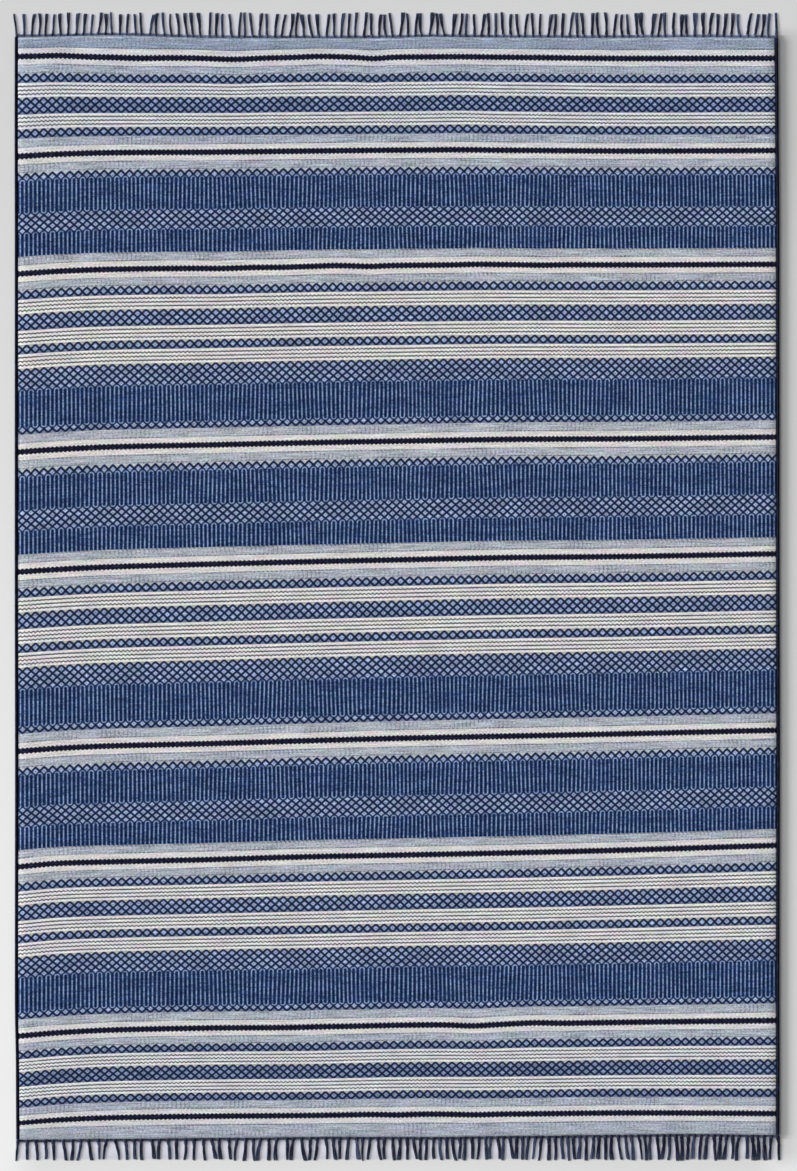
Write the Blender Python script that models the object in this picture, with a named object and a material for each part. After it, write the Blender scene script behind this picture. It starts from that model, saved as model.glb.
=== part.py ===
"""Flat-woven outdoor rug: one striped cloth, two bound long edges and a knotted fringe at each short end.

Units are metres with +Z up. X runs across the rug, Y along it, and the rug lies on the plane Z = 0.
Across counts from the left edge (0) to the right edge (1).
Along counts from the near end (0) to the far end (1).
"""

import math
import random
from collections import namedtuple

import bmesh
import bpy

MM = 0.001

# Driving sizes
RUG_WIDTH = 1.220
CLOTH_LENGTH = 1.753
CLOTH_THICKNESS = 0.0040
SURFACE_SWELL = 0.0004
BINDING_WIDTH = 0.0055
BINDING_HEIGHT = 0.0052
STRIP_WIDTH = 0.0045
STRIP_HEIGHT = 0.0042
FRINGE_REACH = 0.0387
PIECE_GAP = 0.0003

# How finely the cloth and its binding follow the uneven outline
CLOTH_COLUMNS = 24
CLOTH_ROWS = 36
BINDING_SIDES = 10
BINDING_FOOT = 0.6

# Strands: how far each may stray from an even, straight row, and the thin ones at the corners
CORNER_HALF_WIDTH = 0.0015
CORNER_INSET = 0.0031
BACK_SHARE = 0.75
ROOT_STRAY = 0.13
TIP_LEAN = 0.0062
STRAND_BOW = 0.0013
TRIM_STRAY = 0.0018
STRAND_CLEARANCE = 0.0004
SEED = 11

# How far each long edge stands out (+) or in (-) from a straight line
SideWave = namedtuple("SideWave", "along left_mm right_mm")
SIDE_WAVE = (
    SideWave(0.00, -2.3, 0.0),
    SideWave(0.06, -1.8, 0.2),
    SideWave(0.13, -0.1, 0.0),
    SideWave(0.34, -0.5, 0.7),
    SideWave(0.52, 0.1, 0.2),
    SideWave(0.82, 0.0, 0.1),
    SideWave(0.93, 0.3, -1.3),
    SideWave(1.00, 0.1, -2.2),
)

# How far each short end stands out (+) or in (-) from a straight line
EndWave = namedtuple("EndWave", "across far_mm near_mm")
END_WAVE = (
    EndWave(0.00, -0.3, 4.9),
    EndWave(0.13, 2.4, 3.8),
    EndWave(0.26, -1.8, 2.2),
    EndWave(0.42, -2.1, 0.4),
    EndWave(0.48, -1.8, 0.5),
    EndWave(0.54, 0.2, 0.8),
    EndWave(0.66, -1.2, -1.0),
    EndWave(0.80, -1.6, -2.9),
    EndWave(0.88, -0.2, -4.2),
    EndWave(1.00, -1.6, -2.6),
)

# Each strand's sections beyond its root: how far along it, its share of the strip's height, and how far its
# width has gone from the neck's (0) to the frayed club's (1)
Section = namedtuple("Section", "share height swell")
STRAND_SECTIONS = (
    Section(0.22, 0.56, 0.0),
    Section(0.74, 0.44, 1.0),
    Section(1.00, 0.34, 0.9),
)

# The two fringes. left_pitch is the spacing at the left against that at the right, where it is even from this
# share of the strands on. The leans are the corner strands'. A girth holds the width of the others' roots, of
# their necks and of their thinnest and thickest clubs.
EVEN_FROM = 0.5
Girth = namedtuple("Girth", "root neck thinnest thickest")
Fringe = namedtuple("Fringe", "name side strands left_pitch left_lean_mm right_lean_mm girth_mm")
FRINGES = (
    Fringe("fringe_far", 1, 104, 1.0, -4.4, -1.0, Girth(3.8, 3.4, 2.8, 7.4)),
    Fringe("fringe_near", -1, 106, 1.4, -3.6, 2.3, Girth(5.2, 4.2, 3.2, 7.6)),
)

# Colours as linear RGB, with roughness
Finish = namedtuple("Finish", "colour roughness")
CLOTH_FINISH = Finish((0.23, 0.28, 0.38), 0.85)
BINDING_FINISH = Finish((0.012, 0.012, 0.024), 0.75)
FRINGE_FINISH = Finish((0.020, 0.024, 0.040), 0.80)


def clear_scene():
    for thing in list(bpy.data.objects):
        bpy.data.objects.remove(thing)


def eased(table, place, column):
    """The named column at this place, easing from one row of the table to the next."""
    first, last = table[0], table[-1]
    if place <= first[0]:
        return getattr(first, column)
    for before, after in zip(table, table[1:]):
        if place <= after[0]:
            share = (place - before[0]) / (after[0] - before[0])
            share = share * share * (3 - 2 * share)
            return getattr(before, column) * (1 - share) + getattr(after, column) * share
    return getattr(last, column)


def outer_edge(side, along):
    """X of the rug's outermost left (-1) or right (+1) edge."""
    column = "right_mm" if side > 0 else "left_mm"
    return side * (RUG_WIDTH / 2 + eased(SIDE_WAVE, along, column) * MM)


def cloth_edge(side, along):
    """X of the cloth's own edge, which the binding lies against."""
    return outer_edge(side, along) - side * (BINDING_WIDTH + PIECE_GAP)


def end_edge(side, across):
    """Y of the cloth's far (+1) or near (-1) end."""
    column = "far_mm" if side > 0 else "near_mm"
    return side * (CLOTH_LENGTH / 2 + eased(END_WAVE, across, column) * MM)


def between(start, end, share):
    return start + (end - start) * share


def end_line(side, across):
    """Y of the cloth's end as its straight facets run, between one column of the cloth and the next."""
    column = min(max(across, 0.0), 1.0) * CLOTH_COLUMNS
    before = min(int(column), CLOTH_COLUMNS - 1)
    start, end = (end_edge(side, (before + step) / CLOTH_COLUMNS) for step in (0, 1))
    return between(start, end, column - before)


def cloth_place(across, along):
    """X and Y of a place on the cloth."""
    x = between(cloth_edge(-1, along), cloth_edge(1, along), across)
    y = between(end_edge(-1, across), end_edge(1, across), along)
    return x, y


def swell(across, along):
    """How far the lying cloth's face rises or dips from its mean height."""
    broad = math.sin(2 * math.pi * (0.9 * across + 0.15)) * math.sin(2 * math.pi * (1.3 * along + 0.1))
    small = math.sin(2 * math.pi * (2.6 * across - 0.7 * along)) * math.cos(2 * math.pi * 3.1 * along)
    return SURFACE_SWELL * (0.7 * broad + 0.3 * small)


def raised(shape, height):
    """Closes a flat sheet into a slab by extruding it up, and returns the points of its upper side."""
    made = bmesh.ops.extrude_face_region(shape, geom=shape.faces[:])
    upper = [item for item in made["geom"] if isinstance(item, bmesh.types.BMVert)]
    for point in upper:
        point.co.z += height
    return upper


def grown(shape, face, places):
    """Extrudes one face and moves its corners, in their own order, to these places."""
    face = bmesh.ops.extrude_discrete_faces(shape, faces=[face])["faces"][0]
    for corner, place in zip(face.verts, places):
        corner.co = place
    return face


def finished(shape, name, finish, parent, collection):
    """Makes the object of a closed shape, with its own material."""
    bmesh.ops.recalc_face_normals(shape, faces=shape.faces[:])
    mesh = bpy.data.meshes.new(name)
    shape.to_mesh(mesh)
    shape.free()
    material = bpy.data.materials.new(name)
    material.use_nodes = True
    shader = material.node_tree.nodes["Principled BSDF"]
    shader.inputs["Base Color"].default_value = (*finish.colour, 1.0)
    shader.inputs["Roughness"].default_value = finish.roughness
    shader.inputs["Metallic"].default_value = 0.0
    mesh.materials.append(material)
    piece = bpy.data.objects.new(name, mesh)
    piece.parent = parent
    collection.objects.link(piece)
    return piece


def build_cloth(parent, collection):
    """The woven field: flat underneath, gently uneven on top, with the uneven outline of the real cloth."""
    shape = bmesh.new()
    bmesh.ops.create_grid(shape, x_segments=CLOTH_COLUMNS, y_segments=CLOTH_ROWS, size=0.5)
    underside = shape.faces[:]
    shares = {point: (point.co.x + 0.5, point.co.y + 0.5) for point in shape.verts}
    for point, share in shares.items():
        point.co = (*cloth_place(*share), 0.0)
    heights = {point.co.to_tuple(6): CLOTH_THICKNESS + swell(*share) for point, share in shares.items()}
    for point in raised(shape, 0.0):
        point.co.z = heights[point.co.to_tuple(6)]
    bmesh.ops.dissolve_faces(shape, faces=underside)
    return finished(shape, "rug_field", CLOTH_FINISH, parent, collection)


def binding_section(side, along, corners):
    """Places of the binding's section: a flat foot on the floor under a rounded back."""
    middle = outer_edge(side, along) - side * BINDING_WIDTH / 2
    y = cloth_place(0.0 if side < 0 else 1.0, along)[1]
    places = []
    for across, up in corners:
        height = (max(up, -BINDING_FOOT) + BINDING_FOOT) / (1 + BINDING_FOOT)
        places.append((middle + across * BINDING_WIDTH / 2, y, height * BINDING_HEIGHT))
    return places


def build_binding(name, side, parent, collection):
    """The dark overcast yarn along one long edge, swept beside the cloth."""
    shape = bmesh.new()
    bmesh.ops.create_circle(shape, cap_ends=True, segments=BINDING_SIDES, radius=1.0)
    face = shape.faces[:][0]
    corners = [(corner.co.x, corner.co.y) for corner in face.verts]
    for corner, place in zip(face.verts, binding_section(side, 0.0, corners)):
        corner.co = place
    for row in range(1, CLOTH_ROWS + 1):
        face = grown(shape, face, binding_section(side, row / CLOTH_ROWS, corners))
    bmesh.ops.holes_fill(shape, edges=shape.edges[:], sides=BINDING_SIDES)
    return finished(shape, name, BINDING_FINISH, parent, collection)


# A strand's X at its root and its tip, its bow between them, its half widths and the Y that it reaches
Strand = namedtuple("Strand", "root tip bow neck club reach")


def strand_middle(strand, share):
    return between(strand.root, strand.tip, share) + strand.bow * math.sin(math.pi * share)


def strand_half(strand, swell):
    return between(strand.neck, strand.club, swell)


def kept_clear(strand, before):
    """The strand, with its tip moved right as far as it must be to stay clear of the one before it."""
    tip = strand.tip
    for section in STRAND_SECTIONS:
        taken = strand_middle(before, section.share) + strand_half(before, section.swell) + STRAND_CLEARANCE
        room = strand_middle(strand, section.share) - strand_half(strand, section.swell) - taken
        tip = max(tip, strand.tip - room / section.share)
    return strand._replace(tip=tip)


def root_shares(fringe, pick):
    """Where each strand leaves the strip, from 0 at the left to 1 at the right."""
    pitches = []
    for gap in range(fringe.strands - 1):
        rightward = min(1.0, gap / (EVEN_FROM * fringe.strands))
        pitches.append(between(fringe.left_pitch, 1.0, rightward**2))
    total = sum(pitches)
    places, walked = [0.0], 0.0
    for pitch in pitches:
        walked += pitch
        places.append((walked + pick.uniform(-ROOT_STRAY, ROOT_STRAY) * pitch) / total)
    places[-1] = 1.0
    return places


def planned_strands(fringe):
    """Each strand's place, lean and thickness, none so near that it touches the one before it."""
    pick = random.Random(SEED + fringe.side)
    along = (1 + fringe.side) / 2
    left = outer_edge(-1, along) + CORNER_INSET
    right = outer_edge(1, along) - CORNER_INSET
    corner_leans = {0: fringe.left_lean_mm * MM, fringe.strands - 1: fringe.right_lean_mm * MM}
    strands = []
    for number, share in enumerate(root_shares(fringe, pick)):
        root = between(left, right, share)
        neck = fringe.girth_mm.neck * MM / 2
        club = pick.uniform(fringe.girth_mm.thinnest, fringe.girth_mm.thickest) * MM / 2
        lean = pick.uniform(-TIP_LEAN, TIP_LEAN)
        if number in corner_leans:
            neck, club, lean = CORNER_HALF_WIDTH, CORNER_HALF_WIDTH, corner_leans[number]
        bow = pick.uniform(-STRAND_BOW, STRAND_BOW)
        reach = CLOTH_LENGTH / 2 + FRINGE_REACH + pick.uniform(-TRIM_STRAY, TRIM_STRAY)
        strand = Strand(root, root + lean, bow, neck, club, fringe.side * reach)
        if strands:
            strand = kept_clear(strand, strands[-1])
        strands.append(strand)
    return strands


def across_of(x, along):
    """Which share of the cloth's width this X stands at."""
    left, right = cloth_edge(-1, along), cloth_edge(1, along)
    return (x - left) / (right - left)


def strip_line(fringe, x, outward):
    """Y of the fringe's strip at X, this far outward from its inner edge."""
    along = (1 + fringe.side) / 2
    return end_line(fringe.side, across_of(x, along)) + fringe.side * (PIECE_GAP + outward)


def strip_with_roots(shape, fringe, strands):
    """Makes the narrow strip and returns the outward faces that the strands grow from, left to right."""
    along = (1 + fringe.side) / 2
    half_root = fringe.girth_mm.root * MM / 2
    cuts = [outer_edge(-1, along)]
    for strand in strands:
        cuts += [strand.root - half_root, strand.root + half_root]
    cuts.append(outer_edge(1, along))
    columns = len(cuts) - 1
    bmesh.ops.create_grid(shape, x_segments=columns, y_segments=1, size=0.5)
    for point in shape.verts:
        x = cuts[round((point.co.x + 0.5) * columns)]
        point.co = (x, strip_line(fringe, x, STRIP_WIDTH if point.co.y > 0 else 0.0), 0.0)
    raised(shape, STRIP_HEIGHT)
    outward = []
    for face in shape.faces:
        reaches = [fringe.side * (p.co.y - strip_line(fringe, p.co.x, STRIP_WIDTH / 2)) for p in face.verts]
        if min(reaches) > 0:
            outward.append(face)
    outward.sort(key=lambda face: face.calc_center_median().x)
    return outward[1::2]


def grow_strand(shape, fringe, face, strand):
    """Extrudes one strand from its root, lying level on the floor, with its frayed end the widest."""
    sides = [(1 if corner.co.x > strand.root else -1, corner.co.z > 0) for corner in face.verts]
    start = strip_line(fringe, strand.root, STRIP_WIDTH)
    for section in STRAND_SECTIONS:
        middle = strand_middle(strand, section.share)
        half_width = strand_half(strand, section.swell)
        y = between(start, strand.reach, section.share)
        places = []
        for side, upper in sides:
            x = middle + side * half_width * (BACK_SHARE if upper else 1.0)
            places.append((x, y, STRIP_HEIGHT * section.height if upper else 0.0))
        face = grown(shape, face, places)


def build_fringe(fringe, parent, collection):
    """A row of knotted strands, fused at their roots into the strip that lies along the cloth's end."""
    shape = bmesh.new()
    strands = planned_strands(fringe)
    for face, strand in zip(strip_with_roots(shape, fringe, strands), strands):
        grow_strand(shape, fringe, face, strand)
    return finished(shape, fringe.name, FRINGE_FINISH, parent, collection)


def centre_on_floor(parent, pieces):
    """Moves the whole rug so that the middle of its footprint is the origin."""
    corners = [point.co for piece in pieces for point in piece.data.vertices]
    for axis in (0, 1):
        reach = [corner[axis] for corner in corners]
        parent.location[axis] = -(min(reach) + max(reach)) / 2


def main():
    clear_scene()
    collection = bpy.data.collections.new("outdoor_rug")
    bpy.context.scene.collection.children.link(collection)
    rug = bpy.data.objects.new("rug_origin", None)
    collection.objects.link(rug)
    pieces = [build_cloth(rug, collection)]
    pieces.append(build_binding("edge_binding_left", -1, rug, collection))
    pieces.append(build_binding("edge_binding_right", 1, rug, collection))
    for fringe in FRINGES:
        pieces.append(build_fringe(fringe, rug, collection))
    centre_on_floor(rug, pieces)


main()
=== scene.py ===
"""Looks of the flat-woven outdoor rug: its striped weave, bound edges and knotted fringes, on a pale floor.

Metres with +Z up. X runs across the rug and Y along it. Across counts from the left edge (0) to the right one
(1), along from the near end (0) to the far end (1), and down is the distance in mm from the cloth's far end.
"""

import math
import random
from collections import namedtuple
from functools import reduce

import bmesh
import bpy
import numpy as np
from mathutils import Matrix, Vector


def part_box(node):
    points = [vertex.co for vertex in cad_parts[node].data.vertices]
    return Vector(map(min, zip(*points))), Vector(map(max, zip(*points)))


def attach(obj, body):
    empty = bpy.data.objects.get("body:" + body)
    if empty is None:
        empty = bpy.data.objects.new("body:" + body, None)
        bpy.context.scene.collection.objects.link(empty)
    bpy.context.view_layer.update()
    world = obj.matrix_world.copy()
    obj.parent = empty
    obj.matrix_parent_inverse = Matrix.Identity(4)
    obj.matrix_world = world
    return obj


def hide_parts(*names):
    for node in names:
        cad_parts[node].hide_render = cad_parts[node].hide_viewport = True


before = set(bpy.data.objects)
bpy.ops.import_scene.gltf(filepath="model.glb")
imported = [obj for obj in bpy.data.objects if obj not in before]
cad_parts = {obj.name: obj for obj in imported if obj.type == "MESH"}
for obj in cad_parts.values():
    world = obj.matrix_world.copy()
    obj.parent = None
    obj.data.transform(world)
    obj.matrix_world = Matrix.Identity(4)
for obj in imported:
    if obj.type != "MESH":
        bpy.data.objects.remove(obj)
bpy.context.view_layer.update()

MM = 0.001
TURN = 2 * math.pi


def table(columns, *rows):
    """Rows of numbers under named columns."""
    row_kind = namedtuple("Row", columns)
    return [row_kind(*row) for row in rows]


# The construction's own sizes, which place every piece
RUG_WIDTH = 1.220
CLOTH_LENGTH = 1.753
CLOTH_THICKNESS = 0.0040
SURFACE_SWELL = 0.0004
BINDING_WIDTH = 0.0055
BINDING_HEIGHT = 0.0052
BINDING_FOOT = 0.6
STRIP_WIDTH = 0.0045
STRIP_HEIGHT = 0.0042
FRINGE_REACH = 0.0387
PIECE_GAP = 0.0003
CLOTH_COLUMNS = 24
CLOTH_ROWS = 36
CORNER_HALF_WIDTH = 0.0015
CORNER_INSET = 0.0031
ROOT_STRAY = 0.13
TIP_LEAN = 0.0062
STRAND_BOW = 0.0013
TRIM_STRAY = 0.0018
STRAND_CLEARANCE = 0.0004
EVEN_FROM = 0.5
SEED = 11

# How far each long edge, and each end, stands out (+) or in (-) from a straight line
SIDE_WAVE = table(
    "along left_mm right_mm",
    (0.00, -2.3, 0.0),
    (0.06, -1.8, 0.2),
    (0.13, -0.1, 0.0),
    (0.34, -0.5, 0.7),
    (0.52, 0.1, 0.2),
    (0.82, 0.0, 0.1),
    (0.93, 0.3, -1.3),
    (1.00, 0.1, -2.2),
)

END_WAVE = table(
    "across far_mm near_mm",
    (0.00, -0.3, 4.9),
    (0.13, 2.4, 3.8),
    (0.26, -1.8, 2.2),
    (0.42, -2.1, 0.4),
    (0.48, -1.8, 0.5),
    (0.54, 0.2, 0.8),
    (0.66, -1.2, -1.0),
    (0.80, -1.6, -2.9),
    (0.88, -0.2, -4.2),
    (1.00, -1.6, -2.6),
)

# Places along a strand, with how far it has swollen there from neck to club
STRAND_SECTIONS = ((0.22, 0.0), (0.74, 1.0), (1.00, 0.9))

# Each fringe: its side, how many strands it has, their pitch at the left, the corner ones' leans and all
# widths in mm. Then how much wider its loose yarn is: at the neck and at the tips (left and right) in metres,
# and as a share (left and right). Last its knots' tones.
Girth = namedtuple("Girth", "root neck thinnest thickest")
FRINGES = table(
    "name side strands left_pitch left_lean_mm right_lean_mm girth_mm"
    " neck_fluff tip_fluff breadth knot_tones",
    ("fringe_far", 1, 104, 1.0, -4.4, -1.0, Girth(3.8, 3.4, 2.8, 7.4),
     0.0006, (0.0006, 0.0006), (0.84, 1.14), (0.55, 0.85)),
    ("fringe_near", -1, 106, 1.4, -3.6, 2.3, Girth(5.2, 4.2, 3.2, 7.6),
     0.0009, (0.0001, 0.0009), (0.98, 1.05), (0.35, 0.70)),
)

# Diamonds across the rug, their width in mm and how much it drifts from left to right
REPEATS = 90
PITCH = 13.45
PITCH_DRIFT = 0.022

# The stripes from the far end to the near end, as groups between one dark stripe's middle and the next.
# Each group is stretched a little, as the hand-beaten weave is, to end at its place down the cloth.
PINNED_BANDS = ("cream", "heather", "chain", "pins", "double", "pins", "chain_under_pins")
SMALL_GROUP = (*PINNED_BANDS, "deep_heather", "cream")
ARCADE_GROUP = ("cream", "heather", "arcade", "heather", "cream")
WIDE_GROUP = (*PINNED_BANDS, "pins", "trellis", "deep_heather", "cream")
GROUPS = table(
    "ends_mm bands",
    (32.6, ("far_heather", "cream")),
    (180.7, SMALL_GROUP),
    (364.5, ARCADE_GROUP),
    (644.6, WIDE_GROUP),
    (833.8, ARCADE_GROUP),
    (1118.4, WIDE_GROUP),
    (1304.5, ARCADE_GROUP),
    (1575.8, WIDE_GROUP),
    (1717.6, SMALL_GROUP),
    (CLOTH_LENGTH / MM, ("cream", "near_heather")),
)

# Each kind of stripe's height in mm before its group is stretched
BLACK_HEIGHT = 10.2
BAND_HEIGHTS = {
    "cream": 7.6,
    "far_heather": 18.0,
    "near_heather": 21.6,
    "heather": 13.8,
    "deep_heather": 14.3,
    "chain": 14.8,
    "chain_under_pins": 14.8,
    "pins": 22.3,
    "double": 26.8,
    "arcade": 131.0,
    "trellis": 104.4,
}

# How far the dark stripe after each group sags toward the near end at these places across
SAG_PLACES = (0.0, 0.05, 0.12, 0.25, 0.38, 0.5, 0.65, 0.8, 1.0)
SAGS_MM = (
    (-1.4, -2.0, 0.2, 1.2, 0.4, -0.4, 0.0, 2.0, 1.6),
    (10.2, 6.7, 4.2, 3.2, 1.5, 0.0, 0.2, 1.4, 0.6),
    (13.6, 9.5, 6.3, 4.2, 1.7, 0.0, -1.3, -0.9, -1.8),
    (17.5, 13.3, 9.3, 6.0, 2.6, 0.0, -2.9, -3.8, -6.6),
    (19.5, 15.5, 11.4, 7.0, 3.1, 0.0, -3.6, -5.3, -9.6),
    (20.8, 16.1, 12.2, 8.5, 3.9, 0.0, -3.6, -7.3, -12.9),
    (18.8, 13.3, 10.8, 7.2, 2.7, 0.0, -3.6, -8.0, -15.6),
    (17.3, 12.1, 7.6, 4.4, 3.4, 0.0, -1.8, -4.7, -7.7),
    (14.6, 9.4, 5.7, 3.3, 2.1, 0.0, -0.2, -2.0, -0.9),
)

# Short kinks in the weave: where, how far they push toward the near end, and how far they reach
KINK_FADE = 20.0
KINKS = table(
    "across down_mm push_mm reach_across reach_mm",
    (0.055, 33, -1.0, 0.020, 30),
    (0.160, 33, 1.0, 0.025, 30),
    (0.285, 33, 2.2, 0.035, 60),
    (0.400, 33, -1.7, 0.030, 40),
    (0.470, 33, 2.4, 0.018, 45),
    (0.585, 110, -1.2, 0.040, 90),
    (0.270, 360, 1.0, 0.030, 60),
    (0.345, 365, 0.7, 0.025, 35),
    (0.415, 365, -0.9, 0.020, 35),
    (0.465, 365, 1.2, 0.018, 35),
    (0.605, 365, -0.8, 0.025, 40),
    (0.690, 365, 0.8, 0.025, 40),
    (0.600, 1575, 2.2, 0.028, 40),
    (0.680, 1575, -1.5, 0.028, 40),
    (0.600, 1718, 1.1, 0.028, 40),
    (0.400, 1540, -1.0, 0.030, 50),
    (0.500, 1718, 1.2, 0.020, 30),
)


def between(start, end, share):
    return start + (end - start) * share


def eased(rows, place, column):
    """The named column at this place, easing from one row to the next."""
    for before, after in zip(rows, rows[1:]):
        if place <= after[0]:
            break
    share = min(max((place - before[0]) / (after[0] - before[0]), 0.0), 1.0)
    return between(getattr(before, column), getattr(after, column), share * share * (3 - 2 * share))


def outer_edge(side, along):
    """X of the rug's left (-1) or right (+1) edge."""
    column = "right_mm" if side > 0 else "left_mm"
    return side * (RUG_WIDTH / 2 + eased(SIDE_WAVE, along, column) * MM)


def cloth_edge(side, along):
    return outer_edge(side, along) - side * (BINDING_WIDTH + PIECE_GAP)


def end_edge(side, across):
    """Y of the cloth's far (+1) or near (-1) end."""
    column = "far_mm" if side > 0 else "near_mm"
    return side * (CLOTH_LENGTH / 2 + eased(END_WAVE, across, column) * MM)


def end_line(side, across):
    """Y of the cloth's end as the solid's straight facets run."""
    column = min(max(across, 0.0), 1.0) * CLOTH_COLUMNS
    before = min(int(column), CLOTH_COLUMNS - 1)
    start, end = (end_edge(side, (before + step) / CLOTH_COLUMNS) for step in (0, 1))
    return between(start, end, column - before)


# The frame centres the rug on its footprint, so every piece moves by this much from the sizes above
LEFTMOST = min(outer_edge(-1, row / CLOTH_ROWS) for row in range(CLOTH_ROWS + 1))
NEAREST = min(end_edge(-1, column / CLOTH_COLUMNS) for column in range(CLOTH_COLUMNS + 1))
SHIFT = Vector((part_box("edge_binding_left")[0].x - LEFTMOST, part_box("rug_field")[0].y - NEAREST, 0.0))


def curve_through(places, heights, place):
    """A smooth curve through these heights."""
    spot = 0
    while spot < len(places) - 2 and place > places[spot + 1]:
        spot += 1
    left, right = places[spot], places[spot + 1]
    share = (place - left) / (right - left)

    def slope(at):
        low, high = max(at - 1, 0), min(at + 1, len(places) - 1)
        return (heights[high] - heights[low]) / (places[high] - places[low]) * (right - left)

    square, cube = share * share, share**3
    return (
        (2 * cube - 3 * square + 1) * heights[spot]
        + (cube - 2 * square + share) * slope(spot)
        + (3 * square - 2 * cube) * heights[spot + 1]
        + (cube - square) * slope(spot + 1)
    )


def sag_lines(across):
    """Places down the cloth where its sag is known, with the sag there, in mm."""
    length = CLOTH_LENGTH / MM
    lines = [(0.0, length / 2 - end_line(1, across) / MM)]
    for group, sags in zip(GROUPS, SAGS_MM):
        lines.append((group.ends_mm, curve_through(SAG_PLACES, sags, across)))
    lines.append((length, -length / 2 - end_line(-1, across) / MM))
    return lines


def kinked(across, down):
    """How far all kinks together push the weave at this place, in mm."""
    total = 0.0
    for kink in KINKS:
        sideways = (across - kink.across) / kink.reach_across
        lengthways = (down - kink.down_mm) / kink.reach_mm
        total += kink.push_mm * math.exp(-sideways * sideways - lengthways * lengthways)
    end_distance = min(down, CLOTH_LENGTH / MM - down)
    return total * min(1.0, end_distance / KINK_FADE)


def swell(across, along):
    """How far the lying cloth's face rises or dips from its mean height."""
    broad = math.sin(TURN * (0.9 * across + 0.15)) * math.sin(TURN * (1.3 * along + 0.1))
    small = math.sin(TURN * (2.6 * across - 0.7 * along)) * math.cos(TURN * 3.1 * along)
    return SURFACE_SWELL * (0.7 * broad + 0.3 * small)


Band = namedtuple("Band", "kind top_mm height_mm natural_mm")


def planned_bands():
    """Every stripe from the far end to the near end."""
    bands, down = [], 0.0
    for group in GROUPS:
        half_black = 0.0 if group is GROUPS[-1] else BLACK_HEIGHT / 2
        room = group.ends_mm - half_black - down
        natural = sum(BAND_HEIGHTS[kind] for kind in group.bands)
        for kind in group.bands:
            height = BAND_HEIGHTS[kind] * room / natural
            bands.append(Band(kind, down, height, BAND_HEIGHTS[kind]))
            down += height
        if half_black:
            bands.append(Band("black", down, BLACK_HEIGHT, BLACK_HEIGHT))
            down += BLACK_HEIGHT
    return bands


# The field's mesh: its cells' height in mm, each stripe's bulge and each edge's drop in metres, its columns
CELL = 4.3
RIDGE = 0.00012
EDGE_DROP = 0.0005
EDGE_COLUMN = 0.0013
MIDDLE_COLUMNS = 98
MIDDLE_PITCH = (1 - 2 * EDGE_COLUMN) / MIDDLE_COLUMNS
MIDDLE_PLACES = [EDGE_COLUMN + MIDDLE_PITCH * column for column in range(MIDDLE_COLUMNS + 1)]
COLUMN_PLACES = (0.0, *MIDDLE_PLACES, 1.0)
FIELD_COLUMNS = len(COLUMN_PLACES) - 1

Line = namedtuple("Line", "down_mm ridge")
Strip = namedtuple("Strip", "kind start_mm end_mm")


def planned_rows(bands):
    """The lines that cross the cloth, and the strips of faces between them."""
    lines, strips = [Line(0.0, 0.0)], []
    for band in bands:
        cells = max(2, round(band.height_mm / CELL))
        for cell in range(cells):
            share = (cell + 1) / cells
            lines.append(Line(band.top_mm + band.height_mm * share, math.sin(math.pi * share)))
            strips.append(Strip(band.kind, band.natural_mm * cell / cells, band.natural_mm * share))
    return lines, strips


def repeats_at(across, down):
    """How many diamonds lie left of this place, with a slow waver between the edges."""
    even = REPEATS * (across - PITCH_DRIFT * across * (1 - across))
    drift = 0.10 * math.sin(across * 23 + down * 0.011) + 0.07 * math.sin(across * 41 - down * 0.029 + 1.3)
    return even + drift * math.sin(math.pi * across)


def field_points(lines):
    """The upper side's points, line by line, and the underside's."""
    length = CLOTH_LENGTH / MM
    upper = np.zeros((len(lines), FIELD_COLUMNS + 1, 3))
    for column, across in enumerate(COLUMN_PLACES):
        known = sag_lines(across)
        places, sags = [place for place, _ in known], [sag for _, sag in known]
        for row, line in enumerate(lines):
            along = 1 - line.down_mm / length
            sag = np.interp(line.down_mm, places, sags) + kinked(across, line.down_mm)
            x = between(cloth_edge(-1, along), cloth_edge(1, along), across)
            y = (length / 2 - line.down_mm - sag) * MM
            border = column in (0, FIELD_COLUMNS)
            z = CLOTH_THICKNESS + swell(across, along) + RIDGE * line.ridge - EDGE_DROP * border
            upper[row, column] = (x + SHIFT.x, y + SHIFT.y, z)
    under = upper.copy()
    under[:, :, 2] = 0.0
    return upper, under


def field_faces(rows, columns):
    """Each face's own row and its corners as (row, column, level)."""
    faces = []
    top, bottom = 0, 1

    def add(row, *corners):
        faces.append((row, corners))

    for row in range(rows):
        after, last = row + 1, columns
        for left in range(columns):
            right = left + 1
            add(row, (row, left, bottom), (row, right, bottom), (after, right, bottom), (after, left, bottom))
            add(row, (row, left, top), (after, left, top), (after, right, top), (row, right, top))
        add(row, (row, 0, top), (row, 0, bottom), (after, 0, bottom), (after, 0, top))
        add(row, (row, last, top), (after, last, top), (after, last, bottom), (row, last, bottom))
    for left in range(columns):
        right, last = left + 1, rows
        add(0, (0, left, top), (0, right, top), (0, right, bottom), (0, left, bottom))
        add(last - 1, (last, left, top), (last, left, bottom), (last, right, bottom), (last, right, top))
    return faces


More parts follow.
